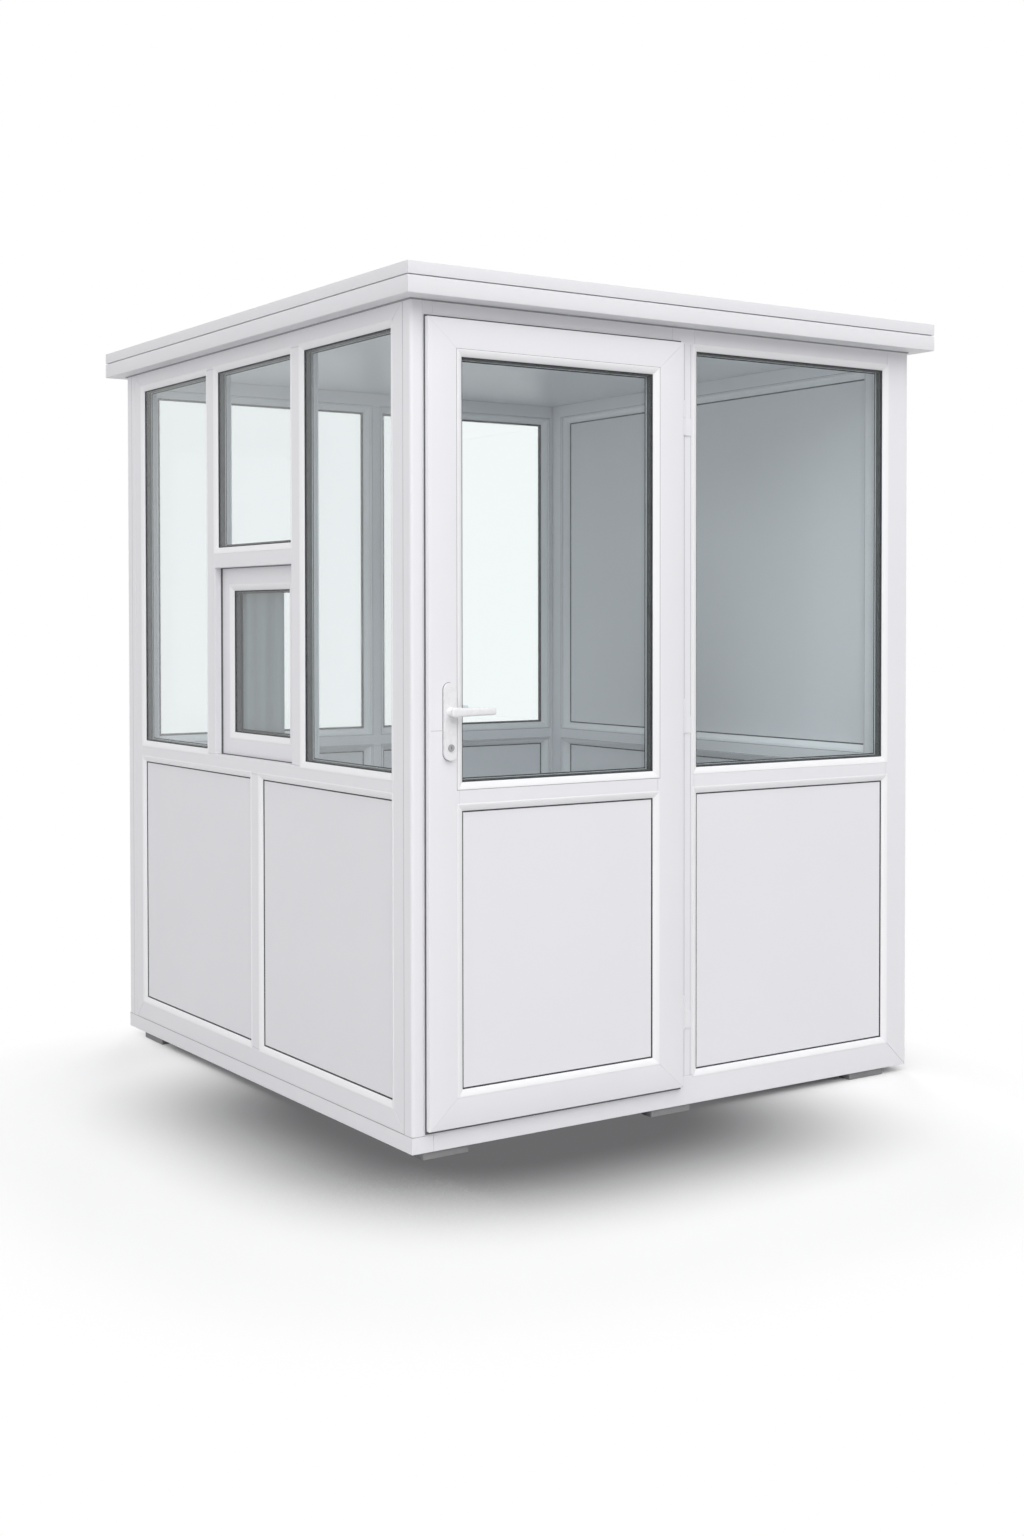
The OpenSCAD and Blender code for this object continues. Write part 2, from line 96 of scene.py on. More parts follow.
camera_data = bpy.data.cameras.new("photo_camera")
camera_data.sensor_fit = "VERTICAL"
camera_data.sensor_height = SENSOR_MM
camera_data.lens = FOCAL_PX * SENSOR_MM / PHOTO_TALL
camera_data.shift_y = (AXIS_ROW - PHOTO_TALL / 2) / PHOTO_TALL
camera_data.clip_end = FAR_CLIP
camera = bpy.data.objects.new("photo_camera", camera_data)
bpy.context.scene.collection.objects.link(camera)
turn = Matrix.Rotation(-HEADING, 4, "Z") @ Matrix.Rotation(math.pi / 2 + TILT, 4, "X")
camera.matrix_world = Matrix.Translation(CAMERA_AT) @ turn @ Matrix.Rotation(LEAN, 4, "Z")
bpy.context.scene.camera = camera
bpy.context.scene.view_settings.view_transform = "Standard"
print("camera lens", round(camera_data.lens, 2), "mm, shift", round(camera_data.shift_y, 4))

# %% [markdown]
# ## Nodes in a few words
#
# Every finish below is a small tree of shader nodes. A few helpers keep the trees readable: they add
# a node and fill its inputs, read noise, spread it between two values or two tones, and do sums.
# Noise is read in object coordinates, which are metres here, so its scale is in cycles per metre on
# every piece.

# %% Node helpers
CLOUD_DETAIL = 3.0
GLOSS_DETAIL = 4.0
GLOSS_FINER = 7


def add(tree, kind, **inputs):
    """Adds a node and sets the inputs named in words, with spaces written as underscores."""
    node = tree.nodes.new(kind)
    for words, value in inputs.items():
        socket = node.inputs[words.replace("_", " ")]
        if isinstance(value, bpy.types.NodeSocket):
            tree.links.new(value, socket)
        else:
            socket.default_value = value
    return node


def noise(tree, scale, detail=2.0, stretch=(1, 1, 1)):
    """Noise in metres, stretched along the axes if asked."""
    place = add(tree, "ShaderNodeTexCoord")
    mapped = add(tree, "ShaderNodeMapping", Vector=place.outputs["Object"], Scale=stretch)
    grain = add(tree, "ShaderNodeTexNoise", Vector=mapped.outputs[0], Scale=scale, Detail=detail)
    return grain.outputs[0]


def between(tree, value, low, high, start=0.3, end=0.7):
    """Turns the useful part of a noise into a range of values."""
    spread = add(tree, "ShaderNodeMapRange", Value=value)
    limits = {"From Min": start, "From Max": end, "To Min": low, "To Max": high}
    for words, number in limits.items():
        spread.inputs[words].default_value = number
    return spread.outputs[0]


def tones(tree, value, dark, light):
    """A colour between two near tones. The colours of a Mix node are its inputs 6 and 7, its output 2."""
    mix = tree.nodes.new("ShaderNodeMix")
    mix.data_type = "RGBA"
    tree.links.new(value, mix.inputs[0])
    mix.inputs[6].default_value = (*dark, 1)
    mix.inputs[7].default_value = (*light, 1)
    return mix.outputs[2]


def maths(tree, operation, first, second):
    """One operation on two sockets or numbers."""
    node = tree.nodes.new("ShaderNodeMath")
    node.operation = operation
    for socket, value in zip(node.inputs, (first, second)):
        if isinstance(value, bpy.types.NodeSocket):
            tree.links.new(value, socket)
        else:
            socket.default_value = value
    return node.outputs[0]


def finish(name, dark, light, cloud, rough, grain, bump_mm, stretch=(1, 1, 1)):
    """A moulded or painted surface: tone clouds, uneven gloss and a fine bump."""
    mat = bpy.data.materials.new(name)
    mat.use_nodes = True
    tree = mat.node_tree
    shader = tree.nodes["Principled BSDF"]
    drift = between(tree, noise(tree, cloud, CLOUD_DETAIL, stretch), 0, 1)
    tree.links.new(tones(tree, drift, dark, light), shader.inputs["Base Color"])
    gloss = between(tree, noise(tree, cloud * GLOSS_FINER, GLOSS_DETAIL, stretch), *rough)
    tree.links.new(gloss, shader.inputs["Roughness"])
    skin = noise(tree, grain, stretch=stretch)
    bump = add(tree, "ShaderNodeBump", Height=skin, Distance=bump_mm * MM, Strength=1.0)
    tree.links.new(bump.outputs[0], shader.inputs["Normal"])
    return mat


def main_inputs(mat):
    """The inputs of a material's main shader."""
    return mat.node_tree.nodes["Principled BSDF"].inputs


print("node helpers ready")

# %% [markdown]
# ## Plastic, sheet, rubber and metal
#
# The profiles are white plastic with a faint violet cast, glossier than the sheet that faces the
# lower panels. An even white would look like paper, so the tone drifts by about a percent over half
# a metre, the gloss changes over a few centimetres and a fine bump breaks up the highlights, as the
# surface of an extrusion does. Seals are dull near-black rubber and the lock parts are bare metal.

# %% Solid finishes
PROFILE_SHEEN = 0.45

white_profile = finish(
    "white_profile", dark=(0.845, 0.838, 0.872), light=(0.862, 0.855, 0.888), cloud=2.0,
    rough=(0.30, 0.40), grain=420, bump_mm=0.012)
main_inputs(white_profile)["Specular IOR Level"].default_value = PROFILE_SHEEN
panel_skin = finish(
    "panel_skin", dark=(0.838, 0.832, 0.866), light=(0.856, 0.850, 0.884), cloud=1.6,
    rough=(0.42, 0.55), grain=260, bump_mm=0.030)
# The beads are a brighter copy of the profile white: painted light, for the light that their slopes catch
# from above.
bead_white_painted_light = finish(
    "bead_white_painted_light", dark=(0.915, 0.911, 0.935), light=(0.930, 0.926, 0.950), cloud=3.0,
    rough=(0.28, 0.31), grain=500, bump_mm=0.008)
# Near-black rubber for the seals; the same colour fills the key slots, where it is painted shade for the
# inside of the keyway.
seal_rubber_and_slot_shade = finish(
    "seal_rubber_and_slot_shade", dark=(0.030, 0.032, 0.034), light=(0.046, 0.048, 0.051), cloud=9.0,
    rough=(0.55, 0.75), grain=900, bump_mm=0.040)
# Grey for the fine joint lines between profiles, and for two strips that are painted shade: the fillet
# under the roof and the line beside the leaf's hinge edge.
seam_and_shade_grey = finish(
    "seam_and_shade_grey", dark=(0.30, 0.30, 0.315), light=(0.36, 0.36, 0.376), cloud=20.0,
    rough=(0.5, 0.7), grain=700, bump_mm=0.02)
# Dark grey for strips that are painted shade, or partly so: round the service sash, round the door leaf
# and under the backplates.
shade_strip_grey = finish(
    "shade_strip_grey", dark=(0.085, 0.086, 0.090), light=(0.115, 0.116, 0.121), cloud=20.0,
    rough=(0.5, 0.7), grain=700, bump_mm=0.02)
spacer_metal = finish(
    "spacer_metal", dark=(0.055, 0.060, 0.063), light=(0.078, 0.084, 0.088), cloud=30.0,
    rough=(0.35, 0.5), grain=600, bump_mm=0.020)
foot_rubber = finish(
    "foot_rubber", dark=(0.24, 0.24, 0.245), light=(0.30, 0.30, 0.306), cloud=12.0,
    rough=(0.6, 0.8), grain=500, bump_mm=0.10)
# The room's floor sheet is set dark, painted shade: it bounces little light onto the lower panels and
# keeps the lower part of the room dim through the glass.
floor_sheet = finish(
    "floor_sheet", dark=(0.20, 0.206, 0.212), light=(0.25, 0.256, 0.262), cloud=60.0,
    rough=(0.35, 0.5), grain=800, bump_mm=0.05)
# The roof and fascia white is a darker copy of the profile white: painted shade that dims the fascia to
# the tone of the walls and keeps the roof's top from turning pure white under the lamps.
roof_white_painted_shade = finish(
    "roof_white_painted_shade", dark=(0.806, 0.802, 0.832), light=(0.822, 0.818, 0.848), cloud=1.2,
    rough=(0.34, 0.46), grain=300, bump_mm=0.020)
handle_white = finish(
    "handle_white", dark=(0.850, 0.848, 0.870), light=(0.864, 0.862, 0.884), cloud=8.0,
    rough=(0.22, 0.32), grain=900, bump_mm=0.010)
hinge_white = finish(
    "hinge_white", dark=(0.850, 0.844, 0.874), light=(0.868, 0.862, 0.892), cloud=14.0,
    rough=(0.3, 0.42), grain=900, bump_mm=0.015)
lock_metal = finish(
    "lock_metal", dark=(0.36, 0.36, 0.37), light=(0.46, 0.46, 0.47), cloud=200.0,
    rough=(0.28, 0.42), grain=1800, bump_mm=0.012, stretch=(1, 1, 8))
main_inputs(lock_metal)["Metallic"].default_value = 1.0
print("solid finishes:", len(bpy.data.materials))

# %% [markdown]
# ## Clear glass
#
# Each pane is a thin sheet with a cool tint, nearly smooth, with the slow waves that rolled glass
# shows in its reflections. The service wall is seen at a slant and its panes look greyer, so they
# have a tint of their own. Window glass bends light by about 1.5, but this studio is white all round
# and its mirror image would lie over every pane as a haze, so a lower value keeps it faint. Real
# light passes glass freely, but a path tracer loses lamps behind a refracting sheet, and the booth
# would be dark inside. So rays that carry light meet a tinted transparent shader, and rays that the
# eye follows meet the glass.

# %% Glass
GLASS_BENDS = 1.30
GLASS_PASSES = (0.972, 0.995, 0.997)
CLEAR_TINT = (0.984, 0.998, 0.998)
SERVICE_TINT = (0.925, 0.942, 0.945)
SMEAR_SCALE = 5.0
SMEAR_ROUGH = (0.0, 0.03)
WAVE_SCALE = 3.0
WAVE_STRETCH = (1, 1, 0.4)
WAVE_TALL = 0.02 * MM
WAVE_SHARE = 0.6


def sheet_glass(name, tint):
    """Window glass of one tint."""
    mat = bpy.data.materials.new(name)
    mat.use_nodes = True
    tree = mat.node_tree
    shader = tree.nodes["Principled BSDF"]
    shader.inputs["Base Color"].default_value = (*tint, 1)
    shader.inputs["Transmission Weight"].default_value = 1.0
    shader.inputs["IOR"].default_value = GLASS_BENDS
    smears = between(tree, noise(tree, SMEAR_SCALE, GLOSS_DETAIL), *SMEAR_ROUGH)
    tree.links.new(smears, shader.inputs["Roughness"])
    waves = noise(tree, WAVE_SCALE, 1.0, WAVE_STRETCH)
    roll = add(tree, "ShaderNodeBump", Height=waves, Distance=WAVE_TALL, Strength=WAVE_SHARE)
    tree.links.new(roll.outputs[0], shader.inputs["Normal"])
    through = add(tree, "ShaderNodeBsdfTransparent", Color=(*GLASS_PASSES, 1))
    path = add(tree, "ShaderNodeLightPath")
    carries = maths(tree, "MAXIMUM", path.outputs["Is Shadow Ray"], path.outputs["Is Diffuse Ray"])
    choose = add(tree, "ShaderNodeMixShader", Fac=carries)
    tree.links.new(shader.outputs[0], choose.inputs[1])
    tree.links.new(through.outputs[0], choose.inputs[2])
    tree.links.new(choose.outputs[0], tree.nodes["Material Output"].inputs["Surface"])
    return mat


clear_glass = sheet_glass("clear_glass", CLEAR_TINT)
tinted_glass = sheet_glass("tinted_glass", SERVICE_TINT)
grey_film = finish(
    "grey_film", dark=(0.20, 0.217, 0.227), light=(0.35, 0.373, 0.386), cloud=9.0,
    rough=(0.45, 0.6), grain=700, bump_mm=0.02, stretch=(1, 1, 0.04))
print("glass passes", GLASS_PASSES, "a face")

# %% [markdown]
# ## A white floor
#
# The photograph has a pure white surround, with no line between the floor and what is behind it. A
# curved backdrop would do in a real studio. Here the floor is flat white paint near the booth, where
# it takes the shadow, and further out it turns to an even white for the rays that the eye follows:
# straight ones, mirrored ones and those through glass. The light on the booth stays as it is.

# %% Floor
FLOOR_REACH = 60.0
SQUARE_POWER = 3.2
WHITE = (1, 1, 1, 1)


def eye_rays(tree):
    """1 for the rays that show the background: straight, mirrored or through glass."""
    path = add(tree, "ShaderNodeLightPath")
    bent = maths(tree, "MAXIMUM", path.outputs["Is Glossy Ray"], path.outputs["Is Transmission Ray"])
    return maths(tree, "MAXIMUM", path.outputs["Is Camera Ray"], bent)


def how_far(tree, centre):
    """How far a point of the floor lies from a centre, with contours like a square with round corners."""
    spot = add(tree, "ShaderNodeTexCoord")
    parts = add(tree, "ShaderNodeSeparateXYZ", Vector=spot.outputs["Object"])
    total = 0.0
    for axis, middle in zip("XY", centre):
        off = maths(tree, "ABSOLUTE", maths(tree, "SUBTRACT", parts.outputs[axis], middle), 0)
        total = maths(tree, "ADD", total, maths(tree, "POWER", off, SQUARE_POWER))
    return maths(tree, "POWER", total, 1 / SQUARE_POWER)


def soft_step(tree, value, start, end):
    """0 up to the start, 1 from the end, with a soft passage."""
    passage = between(tree, value, 0, 1, start, end)
    passage.node.interpolation_type = "SMOOTHSTEP"
    return passage


half = FLOOR_REACH / 2
floor_mesh = bpy.data.meshes.new("studio_floor")
floor_mesh.from_pydata(
    [(-half, -half, 0), (half, -half, 0), (half, half, 0), (-half, half, 0)], [], [(0, 1, 2, 3)])
studio_floor = bpy.data.objects.new("studio_floor", floor_mesh)
bpy.context.scene.collection.objects.link(studio_floor)
floor_paint = bpy.data.materials.new("floor_paint")
floor_paint.use_nodes = True
floor_mesh.materials.append(floor_paint)
print("floor", FLOOR_REACH, "m wide")

# %% [markdown]
# ## The shade at the foot of the booth
#
# Under the near corner the photograph has a soft grey shade that dies out after half a metre. A low
# lamp behind the booth would draw it, and would also spoil the light on the walls. The ambient
# occlusion node measures how much of the view towards the booth is closed by it, so the paint can be
# shaded by that measure, less and less with the distance from the near corner. Bounced light meets
# a duller paint, because a white floor would light the walls from below.

# %% Floor shade
SHADE_REACH = 0.9
SHADE_RANGE = (0.70, 1.02)
SHADE_WAY = Vector((0.75, 1.15, 0.3))
SHADE_CENTRE = (-0.41, -0.60)
SHADE_ENDS = (0.41, 1.08)
SHADE_GREY = (0.142, 0.142, 0.146, 1)
FLOOR_PALE = (0.97, 0.97, 0.97)
FLOOR_BOUNCE = (0.60, 0.60, 0.60)
FLOOR_GRAIN = 4.0
FLOOR_ROUGH = (0.85, 0.95)
SHADE_SAMPLES = 16

tree = floor_paint.node_tree
paint = tree.nodes["Principled BSDF"]
paint.inputs["Specular IOR Level"].default_value = 0.0
floor_gloss = between(tree, noise(tree, FLOOR_GRAIN, CLOUD_DETAIL), *FLOOR_ROUGH)
tree.links.new(floor_gloss, paint.inputs["Roughness"])
floor_path = add(tree, "ShaderNodeLightPath")
floor_tone = tones(tree, floor_path.outputs["Is Diffuse Ray"], FLOOR_PALE, FLOOR_BOUNCE)
tree.links.new(floor_tone, paint.inputs["Base Color"])
light_way = add(tree, "ShaderNodeCombineXYZ")
for axis, part in zip("XYZ", SHADE_WAY.normalized()):
    light_way.inputs[axis].default_value = part
view = add(tree, "ShaderNodeAmbientOcclusion", Distance=SHADE_REACH, Normal=light_way.outputs[0])
view.samples = SHADE_SAMPLES
closed = maths(tree, "SUBTRACT", 1.0, soft_step(tree, view.outputs["AO"], *SHADE_RANGE))
nearby = maths(tree, "SUBTRACT", 1.0, soft_step(tree, how_far(tree, SHADE_CENTRE), *SHADE_ENDS))
near_shade = maths(tree, "MULTIPLY", closed, nearby)
shade = maths(tree, "MULTIPLY", near_shade, floor_path.outputs["Is Camera Ray"])
print("shade ends", SHADE_ENDS[1], "m from its centre")

# %% [markdown]
# ## From the floor to the sky
#
# Now the parts of the floor are stacked: the paint, the grey of the shade over it, and the even
# white over both, from a good metre out. The sky is a pale light from all sides, and the same white
# as the floor where the eye meets it, so no horizon shows.

# %% Floor layers and sky
SHADOW_FLOOR = 1.15
WHITE_FLOOR = 1.6
SKY_LIGHT = 0.34

grey = add(tree, "ShaderNodeEmission", Color=SHADE_GREY, Strength=1.0)
shaded = add(tree, "ShaderNodeMixShader", Fac=shade)
tree.links.new(paint.outputs[0], shaded.inputs[1])
tree.links.new(grey.outputs[0], shaded.inputs[2])
glow = add(tree, "ShaderNodeEmission", Color=WHITE, Strength=1.0)
far_white = soft_step(tree, how_far(tree, SHADE_CENTRE), SHADOW_FLOOR, WHITE_FLOOR)
blend = add(tree, "ShaderNodeMixShader", Fac=maths(tree, "MULTIPLY", far_white, eye_rays(tree)))
tree.links.new(shaded.outputs[0], blend.inputs[1])
tree.links.new(glow.outputs[0], blend.inputs[2])
tree.links.new(blend.outputs[0], tree.nodes["Material Output"].inputs["Surface"])

sky = bpy.data.worlds.new("studio_sky")
sky.use_nodes = True
bpy.context.scene.world = sky
tree = sky.node_tree
sky_light = tree.nodes["Background"]
sky_light.inputs["Color"].default_value = WHITE
sky_light.inputs["Strength"].default_value = SKY_LIGHT
sky_seen = add(tree, "ShaderNodeBackground", Color=WHITE, Strength=1.0)
either = add(tree, "ShaderNodeMixShader", Fac=eye_rays(tree))
tree.links.new(sky_light.outputs[0], either.inputs[1])
tree.links.new(sky_seen.outputs[0], either.inputs[2])
tree.links.new(either.outputs[0], tree.nodes["World Output"].inputs["Surface"])
print("sky light", SKY_LIGHT)

# %% [markdown]
# ## Lamps
#
# Four soft boxes light the booth. The main one stands high in front, so the beads and the leaf's
# edges roll from light to dark and the door wall is a step brighter than the service wall. Two weak
# ones on the left fill the service wall: the low one reaches through its panes to the far wall of the
# room, the high one brightens its lower beads. One behind lights the back walls. Window glass would
# mirror square lamps that the photograph doesn't show, so mirrored rays pass them by.

# %% Lamps
BOOTH_MIDDLE = Vector((0, 0, 1.0))
# Each lamp's name, place, width in metres and watts.
LAMPS = (("front_lamp", (-2.7, -9.6, 10.9), 14.0, 1640), ("back_lamp", (6.5, 10.0, 6.5), 5.0, 420),
         ("left_lamp", (-12.0, -0.5, 3.2), 4.0, 150), ("left_high_lamp", (-8.0, -2.5, 7.6), 6.0, 110))


def lamp(name, at, aim, size, watts):
    """A square soft box that faces a point."""
    data = bpy.data.lights.new(name, "AREA")
    data.size = size
    data.energy = watts
    obj = bpy.data.objects.new(name, data)
    bpy.context.scene.collection.objects.link(obj)
    obj.location = at
    obj.rotation_euler = (Vector(aim) - Vector(at)).to_track_quat("-Z", "Y").to_euler()
    obj.visible_glossy = False
    obj.visible_transmission = False
    return obj


for name, at, size, watts in LAMPS:
    lamp(name, at, BOOTH_MIDDLE, size, watts)

# %% [markdown]
# ## Soft edges on the CAD bars
#
# An extruded bar never has a razor edge, and the small radius is what catches the light along every
# profile in the photograph. The edge could be modelled, but a bevel modifier does it without
# touching the CAD mesh: first the split corners are welded, then the triangles of each flat face
# are dissolved, and then only the true edges are rounded. Where two bars meet, their rounded edges
# leave the fine line that the photograph shows at each joint and mitre.

# %% Edge softening
WELD = 0.00001
FLAT = math.radians(0.5)
EDGE = math.radians(32)

smooth_group = bpy.data.node_groups.new("smooth_faces", "GeometryNodeTree")
smooth_group.interface.new_socket("Geometry", in_out="INPUT", socket_type="NodeSocketGeometry")
smooth_group.interface.new_socket("Geometry", in_out="OUTPUT", socket_type="NodeSocketGeometry")
group_in = smooth_group.nodes.new("NodeGroupInput")
group_out = smooth_group.nodes.new("NodeGroupOutput")
smoother = smooth_group.nodes.new("GeometryNodeSetShadeSmooth")
smooth_group.links.new(group_in.outputs[0], smoother.inputs[0])
smooth_group.links.new(smoother.outputs[0], group_out.inputs[0])


def soften(obj, radius_mm, steps=2):
    """Rounds an object's edges by modifiers alone."""
    weld = obj.modifiers.new("weld", "WELD")
    weld.merge_threshold = WELD
    planes = obj.modifiers.new("planes", "DECIMATE")
    planes.decimate_type = "DISSOLVE"
    planes.angle_limit = FLAT
    edge = obj.modifiers.new("edge", "BEVEL")
    edge.width = radius_mm * MM
    edge.segments = steps
    edge.limit_method = "ANGLE"
    edge.angle_limit = EDGE
    shade = obj.modifiers.new("shade", "NODES")
    shade.node_group = smooth_group
    normals = obj.modifiers.new("normals", "WEIGHTED_NORMAL")
    normals.keep_sharp = True
    return obj


def dress(node, mat, radius_mm, steps=2):
    """Gives a CAD node its finish and soft edges."""
    obj = nodes[node]
    obj.data.materials.clear()
    obj.data.materials.append(mat)
    return soften(obj, radius_mm, steps)


BAR_EDGE = 2.0
PANEL_EDGE = 0.5
# Each node's finish, edge radius in millimetres and steps of the rounding.
OTHER_EDGES = (("floor_panel", floor_sheet, 0.5, 2), ("support_feet", foot_rubber, 2.5, 3),
               ("roof_panel", roof_white_painted_shade, 1.0, 2), ("handle_backplates", handle_white, 2.6, 4),
               ("key_cylinders", lock_metal, 0.8, 3), ("hinge_frame_halves", hinge_white, 0.8, 2),
               ("hinge_leaf_halves", hinge_white, 0.8, 2))
for name in ("front_rails", "front_uprights", "front_sill", "left_rails", "left_uprights",
             "back_rails", "back_uprights", "right_rails", "right_uprights", "base_side_rails",
             "base_back_rail", "front_corner_post", "back_corner_posts", "door_inner_stiles",
             "door_inner_rails", "door_mid_rail"):
    dress(name, white_profile, BAR_EDGE)
for name in ("front_lower_panel", "left_lower_panels", "back_lower_panels", "right_panels",
             "door_lower_panel"):
    dress(name, panel_skin, PANEL_EDGE)
for name, mat, radius, steps in OTHER_EDGES:
    dress(name, mat, radius, steps)
print("softened:", sum(bool(obj.modifiers) for obj in nodes.values()))

# %% [markdown]
# ## Finding the panes
#
# A CAD node can hold several solids, such as the three lights of the service wall. Their places
# could be typed in again, but the node's own mesh already has them: its loose parts are the solids,
# and the box of each one is the place of a pane. A wall is then described by three axes: along it,
# up it and out of it, so that one recipe serves all four walls.

# %% Boxes of the solids, and wall axes
# For each wall, the axes that run along it, up it and out of it, and the sign of the last.
WALL = {"front": (0, 2, 1, -1), "left": (1, 2, 0, -1), "back": (0, 2, 1, 1), "right": (1, 2, 0, 1),
        "roof": (0, 1, 2, 1)}


def solid_boxes(node):
    """The low and high corner of each loose solid of a CAD node."""
    bm = bmesh.new()
    bm.from_mesh(nodes[node].data)
    bmesh.ops.remove_doubles(bm, verts=bm.verts, dist=WELD)
    boxes = []
    for seed in bm.verts:
        if seed.tag:
            continue
        seed.tag = True
        todo = [seed]
        points = []
        while todo:
            vert = todo.pop()
            points.append(vert.co.copy())
            for edge in vert.link_edges:
                other = edge.other_vert(vert)
                if not other.tag:
                    other.tag = True
                    todo.append(other)
        low = [min(p[i] for p in points) for i in range(3)]
        high = [max(p[i] for p in points) for i in range(3)]
        boxes.append((low, high))
    bm.free()
    return sorted(boxes, key=lambda box: [round(v, 4) for v in box[0]])


def wall_place(wall, along, up, out):
    """A point in wall terms as a point of the booth."""
    a, u, o, sign = WALL[wall]
    point = [0.0, 0.0, 0.0]
    point[a] = along
    point[u] = up
    point[o] = sign * out
    return point


def wall_ranges(wall, box):
    """A box as its ranges along, up and out of a wall."""
    a, u, o, sign = WALL[wall]
    low, high = box
    outs = sorted((sign * low[o], sign * high[o]))
    return (low[a], high[a]), (low[u], high[u]), tuple(outs)


GLAZED = {"front": ("front_window_glass", "booth"), "left": ("left_window_glass", "booth"),
          "service": ("service_glass", "booth"), "back": ("back_window_glass", "booth"),
          "door": ("door_glass", "door")}
PANELLED = {"front": "front_lower_panel", "left": "left_lower_panels", "back": "back_lower_panels",
            "right": "right_panels", "door": "door_lower_panel"}
WALL_OF = {"service": "left", "door": "front"}
for part, (node, body) in GLAZED.items():
    print(part, "panes:", len(solid_boxes(node)))

# %% [markdown]
# ## One recipe for every mitred frame
#
# Beads, seals, spacer bars, the door leaf and the fascia are all the same idea: a section that runs
# round a rectangle with mitred corners. A curve with a bevel object could do it, but its corners
# pinch. Here each of the four bars is built on its own from the section's points, its ends cut on
# the mitre and a hair apart, so the joint shows as a fine line and every bar is a closed solid.

# %% Mitred frames
SMOOTH_UNDER = math.radians(40)


def mitred_frame(bm, wall, outer, inner, section, seam_mm=0.3):
    """Four closed bars round a rectangle. A section point is (share, inset, out): the share of the way
    from the outer to the inner rectangle, a further inset, and how far out of the wall."""
    gap = seam_mm * MM / 2
    (oa0, oa1), (ou0, ou1) = outer
    (ia0, ia1), (iu0, iu1) = inner

    def corner(index, share, inset):
        left = oa0 + share * (ia0 - oa0) + inset
        right = oa1 + share * (ia1 - oa1) - inset
        low = ou0 + share * (iu0 - ou0) + inset
        high = ou1 + share * (iu1 - ou1) - inset
        return ((left, low), (right, low), (right, high), (left, high))[index % 4]

    ways = ((1, 0), (0, 1), (-1, 0), (0, -1))
    for side in range(4):
        way = ways[side]
        rings = []
        for end, shift in ((side, gap), (side + 1, -gap)):
            ring = []
            for share, inset, out in section:
                a, u = corner(end, share, inset)
                point = wall_place(wall, a + way[0] * shift, u + way[1] * shift, out)
                ring.append(bm.verts.new(point))
            rings.append(ring)
        start, stop = rings
        count = len(section)
        for i in range(count):
            j = (i + 1) % count
            bm.faces.new((start[i], start[j], stop[j], stop[i]))
        bm.faces.new(start[::-1])
        bm.faces.new(stop)


def piece(name, bm, mat, body, slot, *replaced, smooth=SMOOTH_UNDER):
    """Turns a bmesh into a piece that rides a body and stands for CAD nodes."""
    bmesh.ops.recalc_face_normals(bm, faces=bm.faces)
    mesh = bpy.data.meshes.new(name)
    bm.to_mesh(mesh)
    bm.free()
    for face in mesh.polygons:
        face.use_smooth = True
    mesh.set_sharp_from_angle(angle=smooth)
    mesh.materials.append(mat)
    obj = bpy.data.objects.new(name, mesh)
    bpy.context.scene.collection.objects.link(obj)
    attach(obj, body)
    if replaced:
        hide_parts(*replaced)
    return obj


def inset_range(pair, by):
    """A range shortened at both ends."""
    return (pair[0] + by, pair[1] - by)


print("frame recipe ready")

# %% [markdown]
# ## Double glazing
#
# A glazing unit is two sheets of glass with a metal spacer bar between them near the edge, and dark
# sealant behind the bar. One thick slab of glass would bend what is seen through it far too much
# and would have no spacer, and the dark strips at the far side of each light in the photograph are
# just that spacer and its seal seen at a slant. So each unit is built from its layers.

# %% Glazing units
SHEET = 4 * MM
SPACER_SET = 9 * MM
SPACER_TALL = 8 * MM
SPACER_GAP = 0.3 * MM


def flat_sheet(bm, wall, along, up, low, high, edge_mm=0.6):
    """A flat sheet with its edges taken off."""
    e = edge_mm * MM
    layers = ((low, e), (low + e, 0), (high - e, 0), (high, e))
    rings = []
    for out, inset in layers:
        (a0, a1), (u0, u1) = inset_range(along, inset), inset_range(up, inset)
        corners = ((a0, u0), (a1, u0), (a1, u1), (a0, u1))
        rings.append([bm.verts.new(wall_place(wall, a, u, out)) for a, u in corners])
    for under, over in zip(rings, rings[1:]):
        for i in range(4):
            j = (i + 1) % 4
            bm.faces.new((under[i], under[j], over[j], over[i]))
    bm.faces.new(rings[0][::-1])
    bm.faces.new(rings[-1])


for part, (node, body) in GLAZED.items():
    wall = WALL_OF.get(part, part)
    sheets = bmesh.new()
    spacers = bmesh.new()
    for box in solid_boxes(node):
        along, up, (low, high) = wall_ranges(wall, box)
        flat_sheet(sheets, wall, along, up, low, low + SHEET)
        flat_sheet(sheets, wall, along, up, high - SHEET, high)
        a = low + SHEET + SPACER_GAP
        b = high - SHEET - SPACER_GAP
        s0, s1 = SPACER_SET, SPACER_SET + SPACER_TALL
        bar = [(0, s0, a), (0, s1 - MM, a), (0, s1, a + MM), (0, s1, b - MM), (0, s1 - MM, b), (0, s0, b)]
        mitred_frame(spacers, wall, (along, up), (along, up), bar)
    glass = tinted_glass if wall == "left" else clear_glass
    piece(part + "_glazing", sheets, glass, body, "double_glazing", node)
    piece(part + "_spacer_bars", spacers, spacer_metal, body, "lock_metal")
    print(part, "glazing unit:", len(solid_boxes(node)), "units")

# %% [markdown]
# ## Beads and seals
#
# Each pane and panel is held by beads, rounded strips that slope from the frame down to the glass,
# and a thin black rubber seal closes the last gap. The beads could be left as the CAD's flat slopes,
# but the photograph shows a soft roll of light across them, bright on the lower ones. The section
# is therefore a slope with a little belly, and the seal is a small round lip on the glass.

